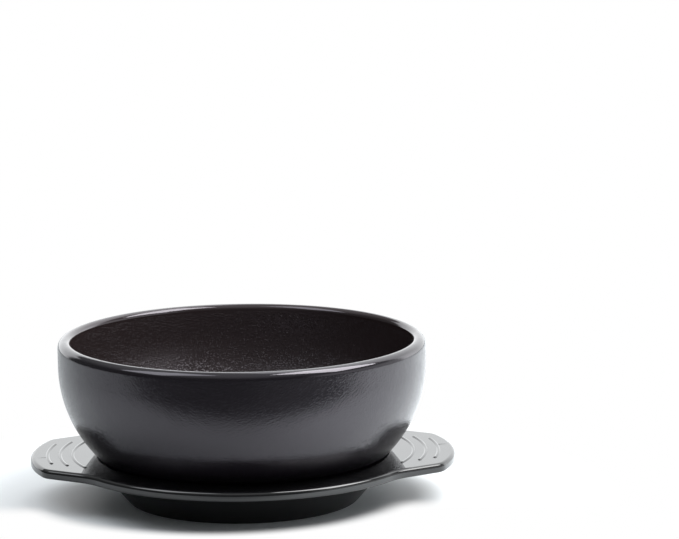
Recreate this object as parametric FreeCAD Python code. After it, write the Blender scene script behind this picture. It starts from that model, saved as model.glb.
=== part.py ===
import FreeCAD, Part
import math
import os

# Dolsot: a thick glazed stoneware bowl that stands in the well of a moulded eared underplate.
# Millimetres. +Z is up, the origin is on the table under the bowl's axis, and the ears lie along X.

# Bowl
bowl_radius = 92.0            # outside, at the widest part of the wall
bowl_height = 76.0            # from the foot to the top of the rim
belly_drop = 13.1             # from the top of the rim down to where the wall starts to curve in
rim_wall = 6.6                # thickness of the wall at the rim
rim_inner_round = 2.7         # smaller round on the rim's inner edge
bowl_floor = 7.4              # thickness of the floor over the hollow under the foot
foot_radius = 50.0            # outside of the foot ring
foot_height = 3.3             # height of the foot ring's outside, up to the curve of the wall
foot_ring_width = 7.0         # width of the ring that the bowl stands on
foot_hollow = 1.8             # depth of the hollow inside the foot ring
foot_edge_round = 0.8         # round on the foot ring's two lower edges
foot_root_round = 1.5         # round in the corner between the foot ring and the wall

# Underplate: well and foot
plate_floor = 3.6             # thickness of the floor that the bowl stands on
plate_hollow = 2.2            # depth of the hollow under that floor
foot_room = 7.0               # room round the bowl's foot on the floor of the well
mouth_clearance = 1.0         # gap between the mouth of the well and the bowl's wall
well_corner_round = 3.0       # round in the corner of the well's floor
well_mouth_round = 0.6        # round on the edge of the well's mouth
plate_foot_step = 1.0         # the underplate's foot is this much wider than the well's floor
plate_foot_width = 8.0        # width of the ring that the underplate stands on
plate_foot_round = 0.8        # round on that ring's two edges
shell_wall = 4.8              # wall of the well, measured level, under the flange
flange_root_round = 2.5       # round in the corner under the flange

# Underplate: flange and ears
flange_top = 23.1             # height of the flange's flat top above the table
flange_thickness = 4.6
flange_width = 15.7           # from the mouth of the well to the edge of the disc
edge_upper_round = 2.0        # round on the upper edge, all the way round
edge_lower_round = 1.0        # round on the lower edge
ear_length = 17.3             # how far each ear reaches past the disc
ear_end_curve = 77.5          # radius of the ear's gently curved end
ear_corner_round = 9.5        # radius of the ear's two outer corners
ear_root_round = 34.0         # radius of the sweep from the disc into the ear's side
ear_root_angle = 32.6         # degrees from the ear's middle to where its side leaves the disc
ear_side_angle = 30.4         # degrees between the ear's side and X

# Underplate: raised ribs on the ears
rib_count = 3
rib_inset = 8.5               # from the ear's end to the middle of the outer rib
rib_pitch = 6.25              # from one rib to the next
rib_centre_shift = 15.0       # the ribs' common centre lies this far out from the axis
rib_end_margin = 13.1         # from the ear's side to where each rib's round end starts
rib_width = 1.9               # across the rib at the flange's surface
rib_height = 0.5              # height of its crown over that surface

cutter_reach = 1.0            # how far the cutter of the well reaches above the surface

# Worked out from the sizes above
seat_z = plate_hollow + plate_floor
rim_z = seat_z + bowl_height
rim_outer_round = rim_wall - rim_inner_round
foot_ring_inner = foot_radius - foot_ring_width
foot_top = seat_z + foot_height
belly_z = rim_z - belly_drop

# The wall's curve leaves the vertical at the belly and ends on the edge of the foot ring
wall_run = bowl_radius - foot_radius
wall_rise = belly_z - foot_top
belly_round = (wall_run ** 2 + wall_rise ** 2) / (2 * wall_run)

# The cavity's curve leaves the vertical at the same height and ends level with its floor
cavity_radius = bowl_radius - rim_wall
cavity_floor_z = seat_z + foot_hollow + bowl_floor
cavity_round = belly_z - cavity_floor_z
flange_bottom = flange_top - flange_thickness

AXIS = FreeCAD.Vector(0, 0, 1)
ORIGIN = FreeCAD.Vector(0, 0, 0)


def wall_radius(height):
    """Outside radius of the bowl at a height above the table, between its foot and its belly."""
    return bowl_radius - belly_round + math.sqrt(belly_round ** 2 - (belly_z - height) ** 2)


def wall_slope(height):
    """Growth of that radius for each millimetre up, at the same height."""
    return (belly_z - height) / math.sqrt(belly_round ** 2 - (belly_z - height) ** 2)


# The well's wall runs straight from its mouth to a floor with room for the foot. The floor is
# also wide enough for that wall to stay outside the tangent of the bowl's curve at the mouth.
well_mouth_radius = wall_radius(flange_top) + mouth_clearance
tangent_floor_radius = well_mouth_radius - (flange_top - seat_z) * wall_slope(flange_top)
well_floor_radius = max(foot_radius + foot_room, tangent_floor_radius)
plate_foot_radius = well_floor_radius + plate_foot_step
disc_radius = well_mouth_radius + flange_width
ear_reach = disc_radius + ear_length


def at(radius, height):
    """Point of a turned section, in the plane through the axis and +X."""
    return FreeCAD.Vector(radius, 0, height)


def line(start, end):
    return Part.LineSegment(start, end).toShape()


def arc(centre, radius, start_deg, end_deg, place):
    """Arc about centre, whose points are made by place from two coordinates."""
    points = []
    for angle in (start_deg, (start_deg + end_deg) / 2, end_deg):
        turn = math.radians(angle)
        points.append(place(centre[0] + radius * math.cos(turn), centre[1] + radius * math.sin(turn)))
    return Part.Arc(*points).toShape()


def turned(edges):
    """Solid turned about the axis from a closed section."""
    return Part.Face(Part.Wire(edges)).revolve(ORIGIN, AXIS, 360)


def rings(shape, radius, height):
    """The circular edges about the axis that have this radius and height."""
    found = []
    for edge in shape.Edges:
        curve = edge.Curve
        if not isinstance(curve, Part.Circle):
            continue
        on_axis = math.hypot(curve.Center.x, curve.Center.y) < 1e-6
        if on_axis and abs(curve.Radius - radius) < 1e-4 and abs(curve.Center.z - height) < 1e-4:
            found.append(edge)
    return found


def bowl_outside():
    """Section of the outside, from the top of the rim down to the foot ring."""
    belly_centre = (bowl_radius - belly_round, belly_z)
    foot_angle = math.degrees(math.atan2(wall_rise, foot_radius - belly_centre[0]))
    round_centre = (bowl_radius - rim_outer_round, rim_z - rim_outer_round)
    return [
        arc(round_centre, rim_outer_round, 90, 0, at),
        line(at(bowl_radius, round_centre[1]), at(bowl_radius, belly_z)),
        arc(belly_centre, belly_round, 0, -foot_angle, at),
        line(at(foot_radius, foot_top), at(foot_radius, seat_z)),
    ]


def bowl_inside():
    """Section of the cavity, from the middle of its floor up to the top of the rim."""
    centre = (cavity_radius - cavity_round, belly_z)
    round_centre = (cavity_radius + rim_inner_round, rim_z - rim_inner_round)
    return [
        line(at(0, cavity_floor_z), at(centre[0], cavity_floor_z)),
        arc(centre, cavity_round, -90, 0, at),
        line(at(cavity_radius, belly_z), at(cavity_radius, round_centre[1])),
        arc(round_centre, rim_inner_round, 180, 90, at),
    ]


def make_bowl():
    """Thick stoneware bowl: round rim, curved wall, foot ring with a hollow inside it."""
    hollow_z = seat_z + foot_hollow
    base = [
        line(at(foot_radius, seat_z), at(foot_ring_inner, seat_z)),
        line(at(foot_ring_inner, seat_z), at(foot_ring_inner, hollow_z)),
        line(at(foot_ring_inner, hollow_z), at(0, hollow_z)),
        line(at(0, hollow_z), at(0, cavity_floor_z)),
    ]
    bowl = turned(bowl_inside() + bowl_outside() + base)
    bowl = bowl.makeFillet(foot_root_round, rings(bowl, foot_radius, foot_top))
    lower_edges = rings(bowl, foot_radius, seat_z) + rings(bowl, foot_ring_inner, seat_z)
    return bowl.makeFillet(foot_edge_round, lower_edges)


class EarOutline:
    """Plan of one ear's side for X and Y positive: end arc, corner, straight side, sweep to the disc."""

    def __init__(self):
        self.side = math.radians(ear_side_angle)
        self.normal = FreeCAD.Vector(math.sin(self.side), math.cos(self.side), 0)
        self.outward = FreeCAD.Vector(math.cos(self.side), -math.sin(self.side), 0)
        self.side_distance = disc_radius * math.sin(math.radians(ear_root_angle + ear_side_angle))
        self.end_centre = FreeCAD.Vector(ear_reach - ear_end_curve, 0, 0)
        self.corner_centre = self.corner()
        self.root_centre = self.root()

    def corner(self):
        """Centre of the corner's round, which touches the side and the end arc from inside."""
        across = self.side_distance - ear_corner_round - self.normal.dot(self.end_centre)
        along = math.sqrt((ear_end_curve - ear_corner_round) ** 2 - across ** 2)
        return self.end_centre + self.normal * across + self.outward * along

    def root(self):
        """Centre of the sweep, which touches the side and the disc from outside."""
        across = self.side_distance + ear_root_round
        along = math.sqrt((disc_radius + ear_root_round) ** 2 - across ** 2)
        return self.normal * across + self.outward * along

    def edges(self):
        """The whole outline, counter-clockwise, made of a half and the same half turned round."""
        end_offset = self.corner_centre - self.end_centre
        end_angle = math.degrees(math.atan2(end_offset.y, end_offset.x))
        side_normal = 90 - ear_side_angle
        root_angle = math.degrees(math.atan2(self.root_centre.y, self.root_centre.x))
        corner_end = self.corner_centre + self.normal * ear_corner_round
        root_start = self.root_centre - self.normal * ear_root_round

        def plan(x, y):
            return FreeCAD.Vector(x, y, 0)

        def mirrored(x, y):
            return FreeCAD.Vector(-x, y, 0)

        half = [arc(self.end_centre, ear_end_curve, -end_angle, end_angle, plan)]
        half.append(arc(self.corner_centre, ear_corner_round, end_angle, side_normal, plan))
        half.append(line(corner_end, root_start))
        half.append(arc(self.root_centre, ear_root_round, side_normal + 180, root_angle + 180, plan))
        half.append(arc(ORIGIN, disc_radius, root_angle, 180 - root_angle, plan))
        half.append(arc(self.root_centre, ear_root_round, root_angle + 180, side_normal + 180, mirrored))
        half.append(line(mirrored(root_start.x, root_start.y), mirrored(corner_end.x, corner_end.y)))
        half.append(arc(self.corner_centre, ear_corner_round, side_normal, end_angle, mirrored))
        turned_half = []
        for edge in half:
            other = edge.copy()
            other.rotate(ORIGIN, AXIS, 180)
            turned_half.append(other)
        return half + turned_half


def make_flange(outline):
    """The flat flange with both ears, its edges rounded all the way round."""
    face = Part.Face(Part.Wire(outline.edges()))
    face.translate(FreeCAD.Vector(0, 0, flange_bottom))
    slab = face.extrude(FreeCAD.Vector(0, 0, flange_thickness))
    upper = [edge for edge in slab.Edges if edge.BoundBox.ZMin > flange_top - 1e-6]
    slab = slab.makeFillet(edge_upper_round, upper)
    lower = [edge for edge in slab.Edges if edge.BoundBox.ZMax < flange_bottom + 1e-6]
    return slab.makeFillet(edge_lower_round, lower)


def well_wall_radius(height):
    """Radius of the well's sloping wall at a height above the table."""
    share = (height - seat_z) / (flange_top - seat_z)
    return well_floor_radius + share * (well_mouth_radius - well_floor_radius)


def make_shell():
    """The body under the flange, without its well: foot ring and sloping wall."""
    top_radius = well_wall_radius(flange_bottom) + shell_wall
    ring_inner = plate_foot_radius - plate_foot_width
    middle = (flange_bottom + flange_top) / 2
    return turned([
        line(at(0, plate_hollow), at(ring_inner, plate_hollow)),
        line(at(ring_inner, plate_hollow), at(ring_inner, 0)),
        line(at(ring_inner, 0), at(plate_foot_radius, 0)),
        line(at(plate_foot_radius, 0), at(top_radius, flange_bottom)),
        line(at(top_radius, flange_bottom), at(top_radius, middle)),
        line(at(top_radius, middle), at(0, middle)),
        line(at(0, middle), at(0, plate_hollow)),
    ]), top_radius, ring_inner


def make_well():
    """The space of the well, which the bowl stands in."""
    above = flange_top + cutter_reach
    return turned([
        line(at(0, seat_z), at(well_floor_radius, seat_z)),
        line(at(well_floor_radius, seat_z), at(well_mouth_radius, flange_top)),
        line(at(well_mouth_radius, flange_top), at(well_mouth_radius, above)),
        line(at(well_mouth_radius, above), at(0, above)),
        line(at(0, above), at(0, seat_z)),
    ])


def make_ribs(outline):
    """The raised ribs of one ear, each an arc of round section, closed by half a ball at both ends."""
    ribs = []
    centre = FreeCAD.Vector(rib_centre_shift, 0, 0)
    reach = outline.side_distance - rib_end_margin - centre.x * math.sin(outline.side)
    crown = (rib_width ** 2 / 4 + rib_height ** 2) / (2 * rib_height)
    for index in range(rib_count):
        radius = ear_reach - rib_inset - index * rib_pitch - centre.x
        half_angle = math.degrees(math.asin(reach / radius) - outline.side)
        core = FreeCAD.Vector(centre.x + radius, 0, flange_top + rib_height - crown)
        section = Part.Face(Part.Wire([Part.Circle(core, FreeCAD.Vector(0, 1, 0), crown).toShape()]))
        section.rotate(centre, AXIS, -half_angle)
        rib = section.revolve(centre, AXIS, 2 * half_angle)
        for angle, half_turn in ((half_angle, 0), (-half_angle, 180)):
            end = Part.makeSphere(crown, core, AXIS, -90, 90, 180)
            end.rotate(core, AXIS, half_turn)
            end.rotate(centre, AXIS, angle)
            rib = rib.fuse(end)
        ribs.append(rib)
    return ribs


def make_underplate():
    """One moulding: foot ring, well, flange, two ears with concentric raised ribs."""
    outline = EarOutline()
    shell, shell_top_radius, ring_inner = make_shell()
    plate = make_flange(outline).fuse(shell).removeSplitter()
    plate = plate.makeFillet(flange_root_round, rings(plate, shell_top_radius, flange_bottom))
    ring_edges = rings(plate, plate_foot_radius, 0) + rings(plate, ring_inner, 0)
    plate = plate.makeFillet(plate_foot_round, ring_edges)
    plate = plate.cut(make_well())
    plate = plate.makeFillet(well_corner_round, rings(plate, well_floor_radius, seat_z))
    plate = plate.makeFillet(well_mouth_round, rings(plate, well_mouth_radius, flange_top))
    for rib in make_ribs(outline):
        opposite = rib.copy()
        opposite.rotate(ORIGIN, AXIS, 180)
        plate = plate.fuse([rib, opposite])
    return plate


def write(name, shape):
    """Write one piece as a STEP file, after a look at its solid."""
    solid = shape.Solids[0]
    print(name, "solids", len(shape.Solids), "valid", solid.isValid(), "volume", round(solid.Volume))
    solid.exportStep(os.path.join("parts", name + ".step"))


os.makedirs("parts", exist_ok=True)
write("bowl", make_bowl())
write("underplate", make_underplate())
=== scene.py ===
"""Looks of a dolsot: a thick black-glazed stoneware bowl on a glossy black underplate.

The bowl stands in the well of the underplate, whose two ears carry three raised ribs each. All
lengths are metres. +Z is up, the origin lies on the table under the bowl's axis, and the ears
lie along X.
"""

import logging
import math
from collections.abc import Mapping, Sequence
from dataclasses import dataclass
from enum import Enum

import bpy
from mathutils import Matrix, Vector


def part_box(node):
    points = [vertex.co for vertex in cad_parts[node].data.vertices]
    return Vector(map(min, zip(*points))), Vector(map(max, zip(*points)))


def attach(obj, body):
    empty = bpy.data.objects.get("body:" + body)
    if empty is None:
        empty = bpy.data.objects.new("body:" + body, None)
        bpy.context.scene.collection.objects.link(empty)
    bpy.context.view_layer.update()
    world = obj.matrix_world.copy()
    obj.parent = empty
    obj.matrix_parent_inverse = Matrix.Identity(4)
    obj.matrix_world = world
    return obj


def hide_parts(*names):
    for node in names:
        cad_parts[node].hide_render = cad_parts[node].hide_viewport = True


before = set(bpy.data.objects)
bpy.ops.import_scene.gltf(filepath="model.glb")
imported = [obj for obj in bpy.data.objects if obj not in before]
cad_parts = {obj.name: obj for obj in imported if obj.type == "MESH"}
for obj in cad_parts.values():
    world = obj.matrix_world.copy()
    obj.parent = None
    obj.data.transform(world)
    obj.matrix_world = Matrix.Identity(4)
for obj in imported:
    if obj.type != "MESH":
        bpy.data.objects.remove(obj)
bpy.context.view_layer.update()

LOG = logging.getLogger("dolsot")
MM = 0.001

Socket = bpy.types.NodeSocket
Point = tuple[float, float]
Colour = tuple[float, float, float, float]
WHITE: Colour = (1.0, 1.0, 1.0, 1.0)

# Nearly all the values of a noise lie between these two.
NOISE_LOW, NOISE_HIGH = 0.3, 0.7


class Piece(Enum):
    """The separate pieces: name in the scene, node that each stands for, and its slot."""

    BOWL = ("glazed_bowl", "bowl", "glaze")
    UNDERPLATE = ("moulded_underplate", "underplate", "black_moulding")

    @property
    def label(self) -> str:
        """Name of the finished object."""
        return self.value[0]

    @property
    def node(self) -> str:
        """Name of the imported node."""
        return self.value[1]

    @property
    def slot(self) -> str:
        """Name of its material slot."""
        return self.value[2]


@dataclass(frozen=True)
class Ramp:
    """An eased step: the readings at which it starts and ends, and the results there."""

    start: float
    end: float
    low: float = 0.0
    high: float = 1.0


class Graph:
    """A node tree that is being built."""

    def __init__(self, tree: bpy.types.NodeTree) -> None:
        """Keep the tree that the nodes go to."""
        self.tree = tree

    def feed(self, node: bpy.types.Node, inputs: Mapping[str | int, object]) -> None:
        """Lead a value or a source socket to each of these inputs of a node."""
        for key, value in inputs.items():
            socket = node.inputs[key]
            if isinstance(value, Socket):
                self.tree.links.new(value, socket)
            else:
                socket.default_value = value

    def add(
        self, kind: str, inputs: Mapping[str | int, object] | None = None, **settings: object
    ) -> bpy.types.Node:
        """Add a node.

        Args:
            kind: type name of the node.
            inputs: value or source socket of each input, by its name or number.
            settings: properties of the node itself.

        Returns:
            The new node.
        """
        node = self.tree.nodes.new(kind)
        for name, value in settings.items():
            setattr(node, name, value)
        self.feed(node, inputs or {})
        return node

    def put(
        self, kind: str, inputs: Mapping[str | int, object] | None = None, **settings: object
    ) -> Socket:
        """Add a node in the same way and return its first output."""
        return self.add(kind, inputs, **settings).outputs[0]

    def math(self, operation: str, *values: object) -> Socket:
        """Add a math node on these values and return its result."""
        return self.put("ShaderNodeMath", dict(enumerate(values)), operation=operation)

    def total(self, first: object, *others: object) -> Socket:
        """Add up several values and return the sum."""
        for other in others:
            first = self.math("ADD", first, other)
        return first

    def vector_math(self, operation: str, *values: object) -> bpy.types.Node:
        """Add a vector math node on these values and return the node."""
        return self.add("ShaderNodeVectorMath", dict(enumerate(values)), operation=operation)

    def length(self, vector: Socket) -> Socket:
        """Return the length of a vector."""
        return self.vector_math("LENGTH", vector).outputs["Value"]

    def ramp(
        self, value: object, start: object, end: object, low: object = 0.0, high: object = 1.0
    ) -> Socket:
        """Ease a value from low to high.

        Args:
            value: the socket that is read.
            start: reading at which the result is low.
            end: reading at which the result is high.
            low: result before start.
            high: result after end.

        Returns:
            The eased value, kept between low and high.
        """
        inputs = {"Value": value, "From Min": start, "From Max": end, "To Min": low, "To Max": high}
        return self.put("ShaderNodeMapRange", inputs, interpolation_type="SMOOTHSTEP")

    def ease(self, value: object, step: Ramp) -> Socket:
        """Ease a value over a step and return the result."""
        return self.ramp(value, step.start, step.end, step.low, step.high)

    def pick(self, share: object, low: object, high: object) -> Socket:
        """Return low where the share is 0, high where it is 1, and in between elsewhere."""
        return self.ramp(share, 0.0, 1.0, low, high)

    def blend(self, share: object, first: object, second: object) -> Socket:
        """Blend two colours by a share and return the result."""
        node = self.add("ShaderNodeMix", {0: share, 6: first, 7: second}, data_type="RGBA")
        return node.outputs[2]

    def noise(self, place: object, size: float, detail: float) -> Socket:
        """Return a noise at a place, with features of this size in metres."""
        inputs = {"Vector": place, "Scale": 1 / size, "Detail": detail}
        return self.put("ShaderNodeTexNoise", inputs)

    def bump(self, relief: Socket) -> Socket:
        """Return the normal that a relief in metres gives."""
        inputs = {"Height": relief, "Strength": 1.0, "Distance": 1.0}
        return self.put("ShaderNodeBump", inputs)

    def split(self, vector: Socket) -> bpy.types.NodeOutputs:
        """Return the three coordinates of a vector."""
        return self.add("ShaderNodeSeparateXYZ", {0: vector}).outputs

    def join(self, x: object, y: object, z: object) -> Socket:
        """Return the vector of three coordinates."""
        return self.put("ShaderNodeCombineXYZ", {0: x, 1: y, 2: z})


class Recipe(Graph):
    """A Geometry Nodes tree with named inputs, which is run on a mesh."""

    SOCKETS = {
        int: "NodeSocketInt",
        float: "NodeSocketFloat",
        bpy.types.Material: "NodeSocketMaterial",
    }

    def __init__(self, name: str, values: Mapping[str, object]) -> None:
        """Open the tree.

        Args:
            name: name of the tree.
            values: value of each input, by its name.
        """
        super().__init__(bpy.data.node_groups.new(name, "GeometryNodeTree"))
        self.values = values
        face = self.tree.interface
        face.new_socket("Geometry", in_out="INPUT", socket_type="NodeSocketGeometry")
        face.new_socket("Geometry", in_out="OUTPUT", socket_type="NodeSocketGeometry")
        self.keys = {}
        for label, value in values.items():
            kind = self.SOCKETS[type(value)]
            self.keys[label] = face.new_socket(label, in_out="INPUT", socket_type=kind).identifier
        self.source = self.tree.nodes.new("NodeGroupInput").outputs

    def finish(self, geometry: Socket) -> None:
        """Close the tree: realize instances, give the material and lead to the output."""
        real = self.put("GeometryNodeRealizeInstances", {"Geometry": geometry})
        inputs = {"Geometry": real, "Material": self.source["Material"]}
        self.add("NodeGroupOutput", {0: self.put("GeometryNodeSetMaterial", inputs)})

    def run(self, label: str, mesh: bpy.types.Mesh) -> bpy.types.Object:
        """Run the tree on a mesh.

        Args:
            label: name of the finished object.
            mesh: the mesh that the tree starts from.

        Returns:
            An object at the origin with the result as a plain mesh.
        """
        draft = add_object(label + "_draft", mesh)
        modifier = draft.modifiers.new("build", "NODES")
        modifier.node_group = self.tree
        for name, value in self.values.items():
            modifier[self.keys[name]] = value
        result = evaluated_mesh(draft)
        draft.modifiers.remove(modifier)
        bpy.data.objects.remove(draft)
        return add_object(label, result)


def add_object(label: str, data: bpy.types.ID | None) -> bpy.types.Object:
    """Put a new object with this data into the scene and return it."""
    thing = bpy.data.objects.new(label, data)
    bpy.context.scene.collection.objects.link(thing)
    return thing


def evaluated_mesh(thing: bpy.types.Object) -> bpy.types.Mesh:
    """Return a plain mesh of an object as its modifiers leave it."""
    depsgraph = bpy.context.evaluated_depsgraph_get()
    return bpy.data.meshes.new_from_object(
        thing.evaluated_get(depsgraph), preserve_all_data_layers=True, depsgraph=depsgraph
    )


def steady_normals(thing: bpy.types.Object, crease: float) -> None:
    """Shade an object smooth up to a crease, with large flat faces kept flat.

    Args:
        thing: the object.
        crease: angle in degrees from which an edge stays sharp.
    """
    thing.data.shade_smooth()
    thing.data.set_sharp_from_angle(angle=math.radians(crease))
    modifier = thing.modifiers.new("normals", "WEIGHTED_NORMAL")
    modifier.keep_sharp = True
    result = evaluated_mesh(thing)
    thing.modifiers.remove(modifier)
    thing.data = result


def arc(centre: Point, radius: float, start: float, end: float, count: int) -> list[Point]:
    """Work out an arc in a plane.

    Args:
        centre: centre of the arc.
        radius: its radius.
        start: angle of its first point, in radians.
        end: angle of its last point, in radians.
        count: number of its straight pieces.

    Returns:
        Its points, both ends included.
    """
    turns = [start + (end - start) * step / count for step in range(count + 1)]
    return [(centre[0] + radius * math.cos(turn), centre[1] + radius * math.sin(turn)) for turn in turns]


@dataclass(frozen=True)
class Corner:
    """A corner of a turned section: radius from the axis, height, and its round."""

    radius: float
    height: float
    fillet: float = 0.0


def rounded(corners: Sequence[Corner], pieces: int = 7) -> list[Point]:
    """Run straight from corner to corner, with an arc in each one that has a round.

    Args:
        corners: the corners in order.
        pieces: number of straight pieces of each arc.

    Returns:
        The points of the section.
    """
    path = [(corners[0].radius, corners[0].height)]
    for before, corner, after in zip(corners, corners[1:], corners[2:]):
        here = Vector((corner.radius, corner.height))
        if not corner.fillet:
            path.append(tuple(here))
            continue
        back = (Vector((before.radius, before.height)) - here).normalized()
        ahead = (Vector((after.radius, after.height)) - here).normalized()
        half = back.angle(ahead) / 2
        centre = here + (back + ahead).normalized() * corner.fillet / math.sin(half)
        first, last = (here + way * corner.fillet / math.tan(half) - centre for way in (back, ahead))
        start = math.atan2(first.y, first.x)
        turn = math.remainder(math.atan2(last.y, last.x) - start, math.tau)
        path += arc(tuple(centre), corner.fillet, start, start + turn, pieces)
    return path + [(corners[-1].radius, corners[-1].height)]


def spaced(path: Sequence[Point], step: float) -> list[Point]:
    """Cut the long runs of a section up, so that none is longer than step."""
    result = [path[0]]
    for start, end in zip(path, path[1:]):
        count = max(1, math.ceil(math.dist(start, end) / step))
        for index in range(1, count + 1):
            share = index / count
            result.append(tuple(a + (b - a) * share for a, b in zip(start, end)))
    return result


def open_material(name: str) -> tuple[bpy.types.Material, Graph, bpy.types.Node]:
    """Make a material and return it with its graph and its Principled shader."""
    material = bpy.data.materials.new(name)
    material.use_nodes = True
    tree = material.node_tree
    return material, Graph(tree), tree.nodes["Principled BSDF"]


@dataclass(frozen=True)
class StonewareGlaze:
    """Black glaze, fired over a coarse body: satin, finely grained, with a bare foot."""

    bare_below: float
    outside: Colour = (0.0060, 0.0048, 0.0066, 1.0)
    inside: Colour = (0.0205, 0.0145, 0.0147, 1.0)
    bare: Colour = (0.085, 0.068, 0.058, 1.0)
    shine: Colour = (1.0, 0.95, 1.03, 1.0)
    index: float = 1.6
    roughness_low: float = 0.15
    roughness_high: float = 0.21
    roughness_rim: float = 0.08
    roughness_inside: float = 0.17
    roughness_bare: float = 0.75
    rim_above: float = 77.0 * MM
    rim_full: float = 79.5 * MM
    grain: float = 0.90 * MM
    grain_squeeze: float = 1.5
    grain_reach: float = 0.75
    grain_least: float = 0.15
    grain_height: float = 0.11 * MM
    grain_inside: float = 0.28 * MM
    peel: float = 3.5 * MM
    peel_height: float = 0.030 * MM
    swell: float = 17.0 * MM
    swell_height: float = 0.16 * MM
    mottle: float = 6.0 * MM
    line_fade: float = 0.5 * MM

    def build(self) -> bpy.types.Material:
        """Make the material.

        Returns:
            The finished material, which reads object coordinates and the cavity attribute.
        """
        material, graph, shader = open_material("stoneware_glaze")
        place = graph.add("ShaderNodeTexCoord").outputs["Object"]
        height = graph.split(place)[2]
        fired = graph.ramp(height, self.bare_below, self.bare_below + self.line_fade)
        cavity = graph.add("ShaderNodeAttribute", attribute_name="cavity").outputs["Fac"]
        glazed = graph.blend(cavity, self.outside, self.inside)
        cloud = graph.noise(place, self.mottle, detail=4.0)
        gloss = graph.ramp(cloud, NOISE_LOW, NOISE_HIGH, self.roughness_low, self.roughness_high)
        inner = graph.pick(cavity, gloss, self.roughness_inside)
        upper = graph.ramp(height, self.rim_above, self.rim_full, inner, self.roughness_rim)
        relief = graph.total(
            graph.math("MULTIPLY", graph.noise(place, self.swell, detail=1.0), self.swell_height),
            graph.math("MULTIPLY", graph.noise(place, self.peel, detail=2.0), self.peel_height),
            self.grains(graph, place, cavity),
        )
        graph.feed(shader, {
            "Base Color": graph.blend(fired, self.bare, glazed),
            "Roughness": graph.pick(fired, self.roughness_bare, upper),
            "Normal": graph.bump(relief),
            "IOR": self.index,
            "Specular Tint": self.shine,
        })
        return material

    def grains(
        self, graph: Graph, place: Socket, cavity: Socket
    ) -> Socket:
        """Work out the relief of the fine grains, which end below the rim.

        Args:
            graph: the material's graph.
            place: object coordinates.
            cavity: 1 inside the bowl and 0 outside.

        Returns:
            The height of the grains, in metres.
        """
        squeeze = (self.grain_squeeze, self.grain_squeeze, 1.0)
        squeezed = graph.vector_math("MULTIPLY", place, squeeze).outputs[0]
        inputs = {"Vector": squeezed, "Scale": 1 / self.grain}
        cell = graph.add("ShaderNodeTexVoronoi", inputs).outputs
        above = graph.math("SUBTRACT", self.grain_reach, cell["Distance"])
        chance = graph.pick(graph.split(cell["Color"])[0], self.grain_least, 1.0)
        grains = graph.math("MULTIPLY", graph.math("MAXIMUM", above, 0.0), chance)
        highest = graph.pick(cavity, self.grain_height, self.grain_inside)
        height = graph.split(place)[2]
        coarse = graph.ramp(height, self.rim_above, self.rim_full, highest, 0.0)
        return graph.math("MULTIPLY", grains, coarse)


@dataclass(frozen=True)
class MouldedGloss:
    """Glossy black moulded plastic, barely wavy, and satin in the well that the bowl rubs."""

    well_radius: float
    black: Colour = (0.0045, 0.0045, 0.0050, 1.0)
    index: float = 1.60
    roughness_low: float = 0.012
    roughness_high: float = 0.030
    roughness_well: float = 0.28
    well_fade: float = 2.0 * MM
    haze: float = 14.0 * MM
    wave: float = 22.0 * MM
    wave_height: float = 0.05 * MM

    def build(self) -> bpy.types.Material:
        """Make the material.

        Returns:
            The finished material, which reads object coordinates.
        """
        material, graph, shader = open_material("black_moulded_gloss")
        place = graph.add("ShaderNodeTexCoord").outputs["Object"]
        haze = graph.noise(place, self.haze, detail=3.0)
        gloss = graph.ramp(haze, NOISE_LOW, NOISE_HIGH, self.roughness_low, self.roughness_high)
        x, y, _ = graph.split(place)
        wide = graph.length(graph.join(x, y, 0.0))
        rubbed = self.well_radius + self.well_fade
        rough = graph.ramp(wide, self.well_radius, rubbed, self.roughness_well, gloss)
        wave = graph.noise(place, self.wave, detail=0.0)
        graph.feed(shader, {
            "Base Color": self.black,
            "Roughness": rough,
            "Normal": graph.bump(graph.math("MULTIPLY", wave, self.wave_height)),
            "IOR": self.index,
        })
        return material


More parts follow.
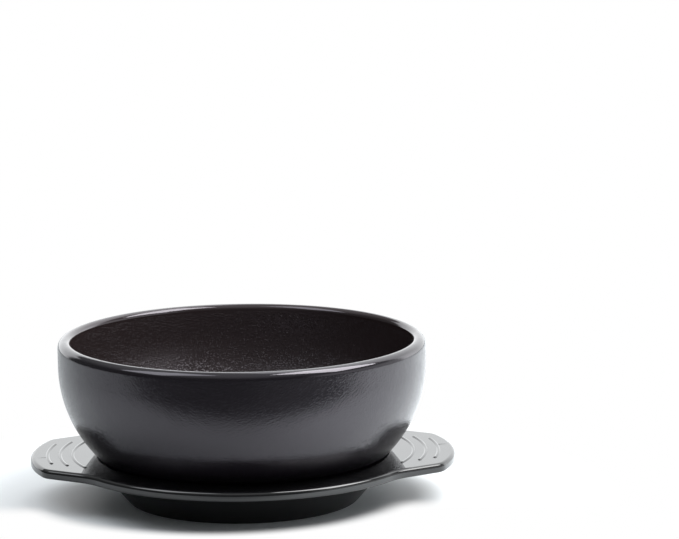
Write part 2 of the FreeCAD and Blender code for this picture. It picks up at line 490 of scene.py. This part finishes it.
@dataclass(frozen=True)
class StoneBowl:
    """The stoneware bowl: round rim, curved wall, foot ring with a hollow inside it."""

    radius: float
    seat: float
    rim: float
    belly_drop: float = 13.1 * MM
    rim_wall: float = 6.6 * MM
    rim_inner_round: float = 2.7 * MM
    floor_wall: float = 7.4 * MM
    foot_radius: float = 50.0 * MM
    foot_height: float = 3.3 * MM
    foot_ring_width: float = 7.0 * MM
    foot_hollow: float = 1.8 * MM
    foot_edge_round: float = 0.8 * MM
    foot_root_round: float = 1.5 * MM
    bare_height: float = 2.2 * MM
    root_pieces: int = 6
    lip_pieces: int = 16
    inner_lip_pieces: int = 8
    segments: int = 384
    spacing: float = 1.7 * MM
    flat_spacings: int = 3
    merge_distance: float = 0.001 * MM
    waver: float = 0.10 * MM
    waver_size: float = 38.0 * MM
    waver_seed: float = 4.0
    still_height: float = 14.0 * MM
    crease: float = 50.0

    @classmethod
    def from_frame(cls) -> "StoneBowl":
        """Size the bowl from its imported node."""
        low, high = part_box(Piece.BOWL.node)
        return cls(radius=(high.x - low.x) / 2, seat=low.z, rim=high.z)

    @property
    def belly(self) -> float:
        """Height at which the wall starts to curve in."""
        return self.rim - self.belly_drop

    def outside(self) -> list[Point]:
        """Work out the section of the outside.

        Returns:
            Its points, from the axis under the foot to the top of the rim.
        """
        run = self.radius - self.foot_radius
        rise = self.belly - self.seat - self.foot_height
        curve = (run**2 + rise**2) / (2 * run)
        middle = self.radius - curve
        root_radius = self.foot_radius + self.foot_root_round
        reach = curve + self.foot_root_round
        root = self.belly - math.sqrt(reach**2 - (root_radius - middle) ** 2)
        lean = math.atan2(self.belly - root, middle - root_radius)
        hollow = self.seat + self.foot_hollow
        ring = self.foot_radius - self.foot_ring_width
        base = rounded([
            Corner(0.0, hollow),
            Corner(ring, hollow),
            Corner(ring, self.seat, self.foot_edge_round),
            Corner(self.foot_radius, self.seat, self.foot_edge_round),
            Corner(self.foot_radius, root),
        ])
        foot = (root_radius, root)
        bend = arc(foot, self.foot_root_round, math.pi, lean, self.root_pieces)
        count = math.ceil(curve * (math.pi - lean) / self.spacing)
        wall = arc((middle, self.belly), curve, lean - math.pi, 0.0, count)
        outer = self.rim_wall - self.rim_inner_round
        top = (self.radius - outer, self.rim - outer)
        lip = arc(top, outer, 0.0, math.pi / 2, self.lip_pieces)
        return base[:-1] + bend + wall[1:] + lip[:-1]

    def inside(self) -> list[Point]:
        """Work out the section of the cavity.

        Returns:
            Its points, from the top of the rim to the axis on the cavity's floor.
        """
        wide = self.radius - self.rim_wall
        floor = self.seat + self.foot_hollow + self.floor_wall
        curve = self.belly - floor
        small = self.rim_inner_round
        top = (wide + small, self.rim - small)
        lip = arc(top, small, math.pi / 2, math.pi, self.inner_lip_pieces)
        count = math.ceil(curve * math.pi / 2 / self.spacing)
        wall = arc((wide - curve, self.belly), curve, 0.0, -math.pi / 2, count)
        return lip + wall + [(0.0, floor)]

    def section(self) -> bpy.types.Mesh:
        """Draw the whole section as a line of edges in the XZ plane.

        Returns:
            A mesh whose cavity attribute is 1 inside the bowl and 0 outside.
        """
        longest = self.flat_spacings * self.spacing
        outside = spaced(self.outside(), longest)
        inside = spaced(self.inside(), longest)
        points = outside + inside
        mesh = bpy.data.meshes.new("bowl_section")
        edges = [(index, index + 1) for index in range(len(points) - 1)]
        mesh.from_pydata([(x, 0.0, z) for x, z in points], edges, [])
        cavity = mesh.attributes.new("cavity", "FLOAT", "POINT")
        cavity.data.foreach_set("value", [0.0] * len(outside) + [1.0] * len(inside))
        return mesh

    def recipe(self, glaze: bpy.types.Material) -> Recipe:
        """Write the tree that turns the section and lets the thrown wall waver a little.

        Args:
            glaze: the bowl's material.

        Returns:
            The tree with this bowl's values.
        """
        recipe = Recipe("turned_bowl", {
            "Segments": self.segments,
            "Guide Radius": self.radius,
            "Waver": self.waver,
            "Waver Size": self.waver_size,
            "Seed": self.waver_seed,
            "Still Below": self.seat + self.still_height / 2,
            "Free Above": self.seat + self.still_height,
            "Merge Distance": self.merge_distance,
            "Material": glaze,
        })
        size = recipe.source
        x, _, z = recipe.split(recipe.put("GeometryNodeInputPosition"))
        outward = recipe.math("SUBTRACT", x, size["Guide Radius"])
        flat = recipe.join(outward, recipe.math("MULTIPLY", z, -1.0), 0.0)
        drawn = recipe.put("GeometryNodeMeshToCurve", {0: size["Geometry"]})
        section = recipe.put("GeometryNodeSetPosition", {"Geometry": drawn, "Position": flat})
        inputs = {"Resolution": size["Segments"], "Radius": size["Guide Radius"]}
        circle = recipe.put("GeometryNodeCurvePrimitiveCircle", inputs)
        guide = recipe.put("GeometryNodeSetCurveNormal", {"Curve": circle}, mode="Z_UP")
        inputs = {"Curve": guide, "Profile Curve": section}
        turned = recipe.put("GeometryNodeCurveToMesh", inputs)
        inputs = {"Geometry": turned, "Distance": size["Merge Distance"]}
        merged = recipe.put("GeometryNodeMergeByDistance", inputs)
        closed = recipe.put("GeometryNodeFlipFaces", {"Mesh": merged})

        place = recipe.put("GeometryNodeInputPosition")
        scale = recipe.math("DIVIDE", 1.0, size["Waver Size"])
        inputs = {"Vector": place, "W": size["Seed"], "Scale": scale, "Detail": 1.0}
        cloud = recipe.put("ShaderNodeTexNoise", inputs, noise_dimensions="4D")
        height = recipe.split(place)[2]
        free = recipe.ramp(height, size["Still Below"], size["Free Above"])
        either_way = recipe.math("SUBTRACT", cloud, 0.5)
        most = recipe.math("MULTIPLY", size["Waver"], 2.0)
        amount = recipe.math("MULTIPLY", recipe.math("MULTIPLY", either_way, most), free)
        inputs = {0: recipe.put("GeometryNodeInputNormal"), "Scale": amount}
        shift = recipe.put("ShaderNodeVectorMath", inputs, operation="SCALE")
        recipe.finish(recipe.put("GeometryNodeSetPosition", {"Geometry": closed, "Offset": shift}))
        return recipe

    def build(self) -> bpy.types.Object:
        """Build the bowl and dress it.

        Returns:
            The finished object.
        """
        glaze = StonewareGlaze(bare_below=self.seat + self.bare_height).build()
        bowl = self.recipe(glaze).run(Piece.BOWL.label, self.section())
        steady_normals(bowl, self.crease)
        return bowl


@dataclass(frozen=True)
class Ribs:
    """The concentric raised ribs on each ear, closed by half a ball at both ends."""

    count: int = 3
    inset: float = 8.5 * MM
    pitch: float = 6.25 * MM
    centre_shift: float = 15.0 * MM
    end_margin: float = 13.1 * MM
    width: float = 1.9 * MM
    height: float = 0.5 * MM
    points: int = 96
    facets: int = 40
    merge_distance: float = 0.005 * MM

    @property
    def crown(self) -> float:
        """Radius of a rib's round section."""
        return (self.width**2 / 4 + self.height**2) / (2 * self.height)

    def recipe(
        self, top: float, reach: float, side: float, side_distance: float, plastic: bpy.types.Material
    ) -> Recipe:
        """Write the tree that raises the ribs on the top of both ears.

        Args:
            top: height of the flange's flat top.
            reach: distance from the axis to the end of an ear.
            side: angle between an ear's side and X, in radians.
            side_distance: distance of that side from the axis.
            plastic: the underplate's material.

        Returns:
            The tree with these values.
        """
        recipe = Recipe("ear_ribs", {
            "Count": self.count,
            "First Radius": reach - self.inset - self.centre_shift,
            "Pitch": self.pitch,
            "Centre": self.centre_shift,
            "Half Reach": side_distance - self.end_margin - self.centre_shift * math.sin(side),
            "Side Angle": side,
            "Core Height": top + self.height - self.crown,
            "Crown": self.crown,
            "Points": self.points,
            "Facets": self.facets,
            "Merge Distance": self.merge_distance,
            "Material": plastic,
        })
        size = recipe.source
        lines, scale = self.rib_lines(recipe)
        circle = {"Resolution": size["Facets"], "Radius": size["Crown"]}
        section = recipe.put("GeometryNodeCurvePrimitiveCircle", circle)
        inputs = {"Curve": lines, "Profile Curve": section, "Scale": scale}
        swept = recipe.put("GeometryNodeCurveToMesh", inputs)
        inputs = {"Geometry": swept, "Distance": size["Merge Distance"]}
        closed = recipe.put("GeometryNodeMergeByDistance", inputs)
        one_ear = recipe.put("GeometryNodeFlipFaces", {"Mesh": closed})
        inputs = {"Geometry": one_ear, "Rotation": (0.0, 0.0, math.pi)}
        other_ear = recipe.put("GeometryNodeTransform", inputs)
        whole = recipe.add("GeometryNodeMeshBoolean", operation="UNION", solver="MANIFOLD")
        for part in (size["Geometry"], one_ear, other_ear):
            recipe.tree.links.new(part, whole.inputs["Mesh 2"])
        recipe.finish(whole.outputs["Mesh"])
        return recipe

    def half_angle(self, recipe: Recipe, radius: Socket) -> Socket:
        """Return half the angle that a rib of this radius spans without its round ends."""
        share = recipe.math("DIVIDE", recipe.source["Half Reach"], radius)
        return recipe.math("SUBTRACT", recipe.math("ARCSINE", share), recipe.source["Side Angle"])

    def rib_lines(self, recipe: Recipe) -> tuple[Socket, Socket]:
        """Draw the arcs that the ribs of the ear at +X follow.

        Args:
            recipe: the tree.

        Returns:
            The arcs, whose points lie close together near their ends, and the scale of the
            section at each point, which closes the ends to half a ball.
        """
        size = recipe.source
        line = recipe.put("GeometryNodeCurvePrimitiveLine")
        inputs = {"Curve": line, "Count": size["Points"]}
        fine = recipe.put("GeometryNodeResampleCurve", inputs)
        inputs = {"Geometry": fine, "Amount": size["Count"]}
        copies = recipe.add("GeometryNodeDuplicateElements", inputs, domain="SPLINE").outputs
        step = recipe.math("MULTIPLY", copies["Duplicate Index"], size["Pitch"])
        radius = recipe.math("SUBTRACT", size["First Radius"], step)
        bare = self.half_angle(recipe, radius)
        half = recipe.math("ADD", bare, recipe.math("DIVIDE", size["Crown"], radius))
        along = recipe.add("GeometryNodeSplineParameter").outputs["Factor"]
        share = recipe.math("COSINE", recipe.math("MULTIPLY", along, math.pi))
        turn = recipe.math("MULTIPLY", share, half)
        ahead = recipe.math("MULTIPLY", radius, recipe.math("COSINE", turn))
        aside = recipe.math("MULTIPLY", radius, recipe.math("SINE", turn))
        place = recipe.join(recipe.math("ADD", size["Centre"], ahead), aside, size["Core Height"])
        inputs = {"Geometry": copies["Geometry"], "Position": place}
        bent = recipe.put("GeometryNodeSetPosition", inputs)
        lines = recipe.put("GeometryNodeSetCurveNormal", {"Curve": bent}, mode="Z_UP")

        x, y, _ = recipe.split(recipe.put("GeometryNodeInputPosition"))
        out = recipe.math("SUBTRACT", x, size["Centre"])
        squares = (recipe.math("MULTIPLY", value, value) for value in (out, y))
        rib_radius = recipe.math("SQRT", recipe.total(*squares))
        rib_turn = recipe.math("ABSOLUTE", recipe.math("ARCTAN2", y, out))
        past = recipe.math("SUBTRACT", rib_turn, self.half_angle(recipe, rib_radius))
        beyond = recipe.math("MULTIPLY", recipe.math("MAXIMUM", past, 0.0), rib_radius)
        sunk = recipe.math("DIVIDE", beyond, size["Crown"])
        left = recipe.math("SUBTRACT", 1.0, recipe.math("MULTIPLY", sunk, sunk))
        return lines, recipe.math("SQRT", recipe.math("MAXIMUM", left, 0.0))


@dataclass(frozen=True)
class EdgePoint:
    """A point of the flange's outline in plan, with the outline's outward normal there."""

    place: Vector
    normal: Vector

    def mirrored(self) -> "EdgePoint":
        """Return the point on the other side of the YZ plane."""
        place = Vector((-self.place.x, self.place.y))
        return EdgePoint(place, Vector((-self.normal.x, self.normal.y)))

    def opposite(self) -> "EdgePoint":
        """Return the point half a turn further round."""
        return EdgePoint(-self.place, -self.normal)


@dataclass(frozen=True)
class Ring:
    """A ring of points round the underplate.

    It lies on a circle about the axis where share is 0, on the outline moved in by inset where
    share is 1, and in between elsewhere.
    """

    radius: float
    inset: float
    share: float
    height: float

    def point(self, edge: EdgePoint) -> Vector:
        """Return this ring's point beside a point of the outline."""
        circle = edge.place.normalized() * self.radius
        outline = edge.place - edge.normal * self.inset
        plan = circle.lerp(outline, self.share)
        return Vector((plan.x, plan.y, self.height))


@dataclass(frozen=True)
class Underplate:
    """The underplate, one moulding: foot ring, well, flat flange, two ribbed ears."""

    ear_reach: float
    disc_radius: float
    seat: float
    flange_top: float = 23.1 * MM
    flange_thickness: float = 4.6 * MM
    flange_width: float = 15.7 * MM
    edge_upper_round: float = 2.0 * MM
    edge_lower_round: float = 1.0 * MM
    hollow: float = 2.2 * MM
    well_floor_radius: float = 57.0 * MM
    well_corner_round: float = 3.0 * MM
    well_mouth_round: float = 0.6 * MM
    foot_step: float = 1.0 * MM
    foot_width: float = 8.0 * MM
    foot_round: float = 0.8 * MM
    shell_wall: float = 4.8 * MM
    root_round: float = 2.5 * MM
    end_curve: float = 77.5 * MM
    corner_round: float = 9.5 * MM
    sweep_round: float = 34.0 * MM
    root_angle: float = 32.6
    side_angle: float = 30.4
    spacing: float = 1.1 * MM
    flat_spacings: int = 6
    flat_steps: int = 4
    lower_pieces: int = 5
    upper_pieces: int = 9
    support: float = 0.35 * MM
    crease: float = 32.0
    ribs: Ribs = Ribs()

    @classmethod
    def from_frame(cls, bowl: StoneBowl) -> "Underplate":
        """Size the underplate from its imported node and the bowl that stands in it."""
        low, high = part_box(Piece.UNDERPLATE.node)
        reach, disc = (high.x - low.x) / 2, (high.y - low.y) / 2
        return cls(ear_reach=reach, disc_radius=disc, seat=bowl.seat)

    @property
    def side(self) -> float:
        """Angle between an ear's side and X, in radians."""
        return math.radians(self.side_angle)

    @property
    def side_distance(self) -> float:
        """Distance of an ear's side from the axis."""
        return self.disc_radius * math.sin(math.radians(self.root_angle + self.side_angle))

    def quarter(self) -> list[EdgePoint]:
        """Follow the outline from the middle of the ear at +X to +Y.

        Returns:
            The outline's points on that quarter, both ends included.
        """
        normal = Vector((math.sin(self.side), math.cos(self.side)))
        outward = Vector((math.cos(self.side), -math.sin(self.side)))
        end_centre = Vector((self.ear_reach - self.end_curve, 0.0))
        across = self.side_distance - self.corner_round - normal.dot(end_centre)
        along = math.sqrt((self.end_curve - self.corner_round) ** 2 - across**2)
        corner = end_centre + normal * across + outward * along
        across = self.side_distance + self.sweep_round
        along = math.sqrt((self.disc_radius + self.sweep_round) ** 2 - across**2)
        sweep = normal * across + outward * along

        end_angle = math.atan2(corner.y, corner.x - end_centre.x)
        side_normal = math.pi / 2 - self.side
        root = math.atan2(sweep.y, sweep.x)
        points = self.curve(end_centre, self.end_curve, 0.0, end_angle)
        points += self.curve(corner, self.corner_round, end_angle, side_normal)
        start = corner + normal * self.corner_round
        stop = sweep - normal * self.sweep_round
        count = math.ceil((stop - start).length / self.spacing)
        points += [EdgePoint(start.lerp(stop, step / count), normal) for step in range(1, count)]
        bend = self.curve(sweep, -self.sweep_round, side_normal, root)
        disc = self.curve(Vector((0.0, 0.0)), self.disc_radius, root, math.pi / 2)
        return points + bend + disc[1:]

    def curve(self, centre: Vector, radius: float, start: float, end: float) -> list[EdgePoint]:
        """Follow an arc of the outline.

        Args:
            centre: its centre in plan.
            radius: its radius, negative where the outline is hollow.
            start: direction of the outward normal at its start, in radians.
            end: direction of that normal at its end.

        Returns:
            The arc's points, both ends included.
        """
        count = max(2, math.ceil(abs(radius * (end - start)) / self.spacing))
        points = []
        for step in range(count + 1):
            turn = start + (end - start) * step / count
            normal = Vector((math.cos(turn), math.sin(turn)))
            points.append(EdgePoint(centre + normal * radius, normal))
        return points

    def outline(self) -> list[EdgePoint]:
        """Return the whole outline, counter-clockwise from +X, with no point twice."""
        found = self.quarter()
        closest = self.spacing / 10
        quarter = [found[0]]
        for point in found[1:]:
            if (point.place - quarter[-1].place).length > closest:
                quarter.append(point)
        half = quarter + [point.mirrored() for point in reversed(quarter[:-1])]
        return half[:-1] + [point.opposite() for point in half[:-1]]

    def rings(self) -> list[Ring]:
        """Stack the rings of the closed moulding.

        Returns:
            The rings, from the axis under the floor, out round the flange and back in.
        """
        mouth = self.disc_radius - self.flange_width
        bottom = self.flange_top - self.flange_thickness
        share = (bottom - self.seat) / (self.flange_top - self.seat)
        shell = self.well_floor_radius + share * (mouth - self.well_floor_radius) + self.shell_wall
        foot = self.well_floor_radius + self.foot_step
        ring = foot - self.foot_width
        # The corners beyond the last round of each section only give that round its direction.
        under = rounded([
            Corner(0.0, self.hollow),
            Corner(ring, self.hollow),
            Corner(ring, 0.0, self.foot_round),
            Corner(foot, 0.0, self.foot_round),
            Corner(shell, bottom, self.root_round),
            Corner(shell + 2 * self.root_round, bottom),
        ])[:-1]
        edge = self.edge(bottom)
        over = rounded([
            Corner(mouth + 4 * self.well_mouth_round, self.flange_top),
            Corner(mouth, self.flange_top, self.well_mouth_round),
            Corner(self.well_floor_radius, self.seat, self.well_corner_round),
            Corner(0.0, self.seat),
        ])
        wide = self.flat_spacings * self.spacing
        rings = [Ring(radius, 0.0, 0.0, height) for radius, height in spaced(under, wide)]
        rings += self.between(rings[-1].radius, edge[0])
        rings += [Ring(0.0, inset, 1.0, height) for inset, height in edge]
        rings += reversed(self.between(over[0][0], edge[-1]))
        rings += [Ring(radius, 0.0, 0.0, height) for radius, height in spaced(over, wide)]
        return rings

    def edge(self, bottom: float) -> list[Point]:
        """Work out the section of the flange's edge.

        Args:
            bottom: height of the flange's underside.

        Returns:
            Its points as distance in from the outline and height, from below to above.
        """
        low, high = self.edge_lower_round, self.edge_upper_round
        under = arc((low, bottom + low), low, -math.pi / 2, -math.pi, self.lower_pieces)
        top = (high, self.flange_top - high)
        over = arc(top, high, math.pi, math.pi / 2, self.upper_pieces)
        start = (low + self.support, bottom)
        stop = (high + self.support, self.flange_top)
        return [start] + under + over + [stop]

    def between(self, radius: float, edge: Point) -> list[Ring]:
        """Return the rings on a flat of the flange, from a circle out to the edge's section."""
        inset, height = edge
        shares = [step / self.flat_steps for step in range(1, self.flat_steps)]
        return [Ring(radius, inset, share, height) for share in shares]

    def moulding(self) -> bpy.types.Mesh:
        """Skin the rings into one closed mesh, without its ribs.

        Returns:
            The mesh, whose first two points are its middle below and its middle above.
        """
        outline = self.outline()
        rings = self.rings()
        around = len(outline)
        points = [Vector((0.0, 0.0, rings[0].height)), Vector((0.0, 0.0, rings[-1].height))]
        first = len(points)
        for ring in rings[1:-1]:
            points += [ring.point(edge) for edge in outline]
        last = len(points) - around
        faces = []
        for index in range(around):
            after = (index + 1) % around
            faces.append((0, first + after, first + index))
            faces.append((1, last + index, last + after))
            for low in range(first, last, around):
                high = low + around
                faces.append((low + index, low + after, high + after, high + index))
        mesh = bpy.data.meshes.new("underplate_moulding")
        mesh.from_pydata(points, [], faces)
        return mesh

    def build(self) -> bpy.types.Object:
        """Build the underplate and dress it.

        Returns:
            The finished object.
        """
        plastic = MouldedGloss(well_radius=self.disc_radius - self.flange_width).build()
        recipe = self.ribs.recipe(
            self.flange_top, self.ear_reach, self.side, self.side_distance, plastic
        )
        plate = recipe.run(Piece.UNDERPLATE.label, self.moulding())
        steady_normals(plate, self.crease)
        return plate


@dataclass(frozen=True)
class Softbox:
    """A soft rectangular lamp that faces the object, and that the camera doesn't see.

    Its azimuth is in degrees from +Y towards +X, its elevation in degrees from the floor.
    """

    label: str
    azimuth: float
    elevation: float
    width: float
    height: float
    radiance: float
    colour: tuple[float, float, float] = (1.0, 1.0, 1.0)
    distance: float = 0.8
    aim: float = 40.0 * MM
    energy_share: float = 4.0

    def build(self) -> None:
        """Hang the lamp."""
        turn, lift = math.radians(self.azimuth), math.radians(self.elevation)
        level = math.cos(lift)
        way = Vector((math.sin(turn) * level, math.cos(turn) * level, math.sin(lift)))
        data = bpy.data.lights.new(self.label, "AREA")
        data.shape = "RECTANGLE"
        data.size = self.width
        data.size_y = self.height
        data.color = self.colour
        data.energy = self.energy_share * self.width * self.height * self.radiance
        lamp = add_object(self.label, data)
        lamp.location = way * self.distance + Vector((0.0, 0.0, self.aim))
        lamp.rotation_euler = (-way).to_track_quat("-Z", "Y").to_euler()
        lamp.visible_camera = False


@dataclass(frozen=True)
class Floor:
    """Plain pale floor.

    In reflections its paleness is painted: painted shade darkens it towards the front, and a
    painted pool of light brightens it to the right. The camera sees it plain white further out,
    and nearer in, as painted light, it glows white over the shade in front of the foot and a
    little beside the foot.
    """

    size: float = 3.0
    seen: float = 0.90
    hidden: float = 0.80
    tint: tuple[float, float, float] = (0.965, 1.0, 1.02)
    # Painted reflection: reflections see the floor painted darker towards the front, as painted shade,
    # and brighter to the right, as a painted pool of light.
    painted_reflection_ahead: Ramp = Ramp(-230.0 * MM, -140.0 * MM, low=0.0924, high=0.66)
    painted_light_right: Ramp = Ramp(-30.0 * MM, 140.0 * MM, low=1.0, high=1.65)
    white_around: Ramp = Ramp(125.0 * MM, 190.0 * MM)
    # Painted light: the camera sees the floor glow white in front of the foot, over the shade under the
    # flange, and faintly beside the foot, over the ears' shadow there.
    painted_glow_ahead: Ramp = Ramp(82.5 * MM, 101.5 * MM)
    glow_ahead_centre: float = -12.0 * MM
    glow_ahead_stretch: float = 1.19
    glow_ahead_side: Ramp = Ramp(-5.0 * MM, -35.0 * MM)
    painted_glow_beside: Ramp = Ramp(62.0 * MM, 95.0 * MM, high=0.16)

    def build(self) -> None:
        """Lay the floor, which keeps the object's shadow, and keep it out of the part."""
        half = self.size / 2
        mesh = bpy.data.meshes.new("floor")
        corners = [(-half, -half, 0.0), (half, -half, 0.0), (half, half, 0.0), (-half, half, 0.0)]
        mesh.from_pydata(corners, [], [(0, 1, 2, 3)])
        floor = add_object("floor", mesh)
        floor.data.materials.append(self.material())

    def material(self) -> bpy.types.Material:
        """Make the floor's material.

        Returns:
            A matt pale material that the camera doesn't see at all from below.
        """
        material, graph, shader = open_material("white_floor")
        graph.tree.nodes.remove(shader)
        path = graph.add("ShaderNodeLightPath").outputs
        camera = path["Is Camera Ray"]
        place = graph.add("ShaderNodeTexCoord").outputs["Object"]
        # Glossy rays see the painted reflection; the camera and diffuse rays see plain grey.
        hidden_grey_and_painted_reflection = graph.pick(path["Is Glossy Ray"], self.hidden, self.mirrored(graph, place))
        grey_and_painted_reflection = graph.pick(camera, hidden_grey_and_painted_reflection, self.seen)
        colour = graph.join(*(graph.math("MULTIPLY", grey_and_painted_reflection, share) for share in self.tint))
        matt = graph.put("ShaderNodeBsdfDiffuse", {"Color": colour})
        white = graph.put("ShaderNodeEmission", {"Strength": 1.0})
        # Emitted white: plain white far out, and painted light that glows over the shade in front of and
        # beside the foot.
        white_and_painted_glow = graph.math("MULTIPLY", self.plain(graph, place), camera)
        top = graph.put("ShaderNodeMixShader", {0: white_and_painted_glow, 1: matt, 2: white})
        below = graph.add("ShaderNodeNewGeometry").outputs["Backfacing"]
        cleared = graph.math("MULTIPLY", below, camera)
        clear = graph.put("ShaderNodeBsdfTransparent")
        whole = graph.put("ShaderNodeMixShader", {0: cleared, 1: top, 2: clear})
        graph.feed(graph.tree.nodes["Material Output"], {"Surface": whole})
        return material

    def mirrored(self, graph: Graph, place: Socket) -> Socket:
        """Return the floor's painted reflection: its paleness in reflections, with painted shade ahead
        and a painted pool of light to the right.
        """
        x, y, _ = graph.split(place)
        return graph.math("MULTIPLY", graph.ease(y, self.painted_reflection_ahead), graph.ease(x, self.painted_light_right))

    def plain(self, graph: Graph, place: Socket) -> Socket:
        """Work out where the camera sees white: plain white far out, and painted light nearer in.

        Args:
            graph: the material's graph.
            place: object coordinates.

        Returns:
            The share of white: all round further out, and as painted light glowing over the shade
            nearer in front and a little beside.
        """
        x, y, _ = graph.split(place)
        around = graph.ease(graph.length(place), self.white_around)
        shifted = graph.math("SUBTRACT", x, self.glow_ahead_centre)
        stretched = graph.math("MULTIPLY", y, self.glow_ahead_stretch)
        near = graph.length(graph.join(shifted, stretched, 0.0))
        # Painted light in front of the foot, glowing over the shade under the flange.
        ahead = graph.math(
            "MULTIPLY", graph.ease(near, self.painted_glow_ahead), graph.ease(y, self.glow_ahead_side)
        )
        # Faint painted light beside the foot, lifting the ears' shadow.
        beside = graph.ease(graph.math("ABSOLUTE", x), self.painted_glow_beside)
        return graph.math("MAXIMUM", graph.math("MAXIMUM", around, ahead), beside)


@dataclass(frozen=True)
class Surround:
    """White for the camera, and for the rest a dim room with a lit backdrop and a side card.

    The ramps read the direction of the ray: its share along X or Z, or how nearly it points at
    the backdrop's middle, which is turned by some degrees from +Y towards +X.
    """

    backdrop: float = 1.74
    backdrop_turn: float = 9.5
    backdrop_width: Ramp = Ramp(0.52, 0.68)
    backdrop_top: Ramp = Ramp(-0.17, 0.10, low=0.42, high=0.93)
    backdrop_fade: float = 0.06
    side_card: Ramp = Ramp(0.55, 0.85, high=0.9)
    side_card_top: Ramp = Ramp(0.55, 0.25)
    room: Ramp = Ramp(0.35, 0.95, low=0.12, high=0.70)
    room_colour: Colour = (0.97, 0.99, 1.0, 1.0)

    def build(self) -> None:
        """Make the world."""
        world = bpy.data.worlds.new("studio")
        bpy.context.scene.world = world
        world.use_nodes = True
        graph = Graph(world.node_tree)
        x, y, z = graph.split(graph.add("ShaderNodeTexCoord").outputs["Generated"])
        level = graph.vector_math("NORMALIZE", graph.join(x, y, 0.0)).outputs[0]
        turn = math.radians(self.backdrop_turn)
        middle = (math.sin(turn), math.cos(turn), 0.0)
        facing = graph.vector_math("DOT_PRODUCT", level, middle).outputs["Value"]
        top = graph.ease(x, self.backdrop_top)
        tall = graph.ramp(z, graph.math("ADD", top, self.backdrop_fade), top)
        shape = graph.math("MULTIPLY", graph.ease(facing, self.backdrop_width), tall)
        card = graph.math("MULTIPLY", shape, self.backdrop)
        side = graph.math("MULTIPLY", graph.ease(x, self.side_card), graph.ease(z, self.side_card_top))
        light = graph.total(graph.ease(z, self.room), side, card)
        camera = graph.add("ShaderNodeLightPath").outputs["Is Camera Ray"]
        graph.feed(world.node_tree.nodes["Background"], {
            "Color": graph.blend(camera, self.room_colour, WHITE),
            "Strength": graph.pick(camera, light, 1.0),
        })


@dataclass(frozen=True)
class Camera:
    """The photographer's camera: its place, its turns in degrees and its lens in millimetres."""

    place: tuple[float, float, float] = (-11.4 * MM, -1748.8 * MM, 426.7 * MM)
    heading: float = 1.985
    pitch: float = 10.10
    roll: float = 0.50
    lens: float = 188.9
    sensor: float = 36.0
    clip_start: float = 0.01

    def build(self) -> None:
        """Stand the camera where the photographer's was."""
        data = bpy.data.cameras.new("camera")
        data.lens = self.lens
        data.sensor_width = self.sensor
        data.clip_start = self.clip_start
        camera = add_object("camera", data)
        heading = Matrix.Rotation(math.radians(-self.heading), 4, "Z")
        pitch = Matrix.Rotation(math.radians(90.0 - self.pitch), 4, "X")
        roll = Matrix.Rotation(math.radians(-self.roll), 4, "Z")
        camera.matrix_world = Matrix.Translation(self.place) @ heading @ pitch @ roll
        bpy.context.scene.camera = camera


STUDIO = (
    Floor(),
    Surround(),
    Softbox("key_softbox", azimuth=99.0, elevation=56.0, width=0.49, height=0.58, radiance=7.0),
    Softbox(
        "left_softbox", azimuth=-108.0, elevation=57.0, width=0.40, height=0.55, radiance=2.2,
        colour=(0.93, 0.96, 1.0),
    ),
    Camera(),
)


def dress(piece: Piece, thing: bpy.types.Object) -> None:
    """Let a finished object stand for its node, and report it.

    Args:
        piece: which piece it is.
        thing: its object.
    """
    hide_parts(piece.node)
    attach(thing, "root")
    mesh = thing.data
    mesh.calc_loop_triangles()
    triangles = len(mesh.loop_triangles)
    LOG.info("%s: %d vertices, %d triangles", thing.name, len(mesh.vertices), triangles)


def main() -> None:
    """Build the pieces and the studio in order."""
    logging.basicConfig(level=logging.INFO, format="%(name)s: %(message)s")
    bowl = StoneBowl.from_frame()
    dress(Piece.BOWL, bowl.build())
    dress(Piece.UNDERPLATE, Underplate.from_frame(bowl).build())
    for prop in STUDIO:
        prop.build()
    bpy.context.scene.view_settings.view_transform = "Standard"


if __name__ == "__main__":
    main()
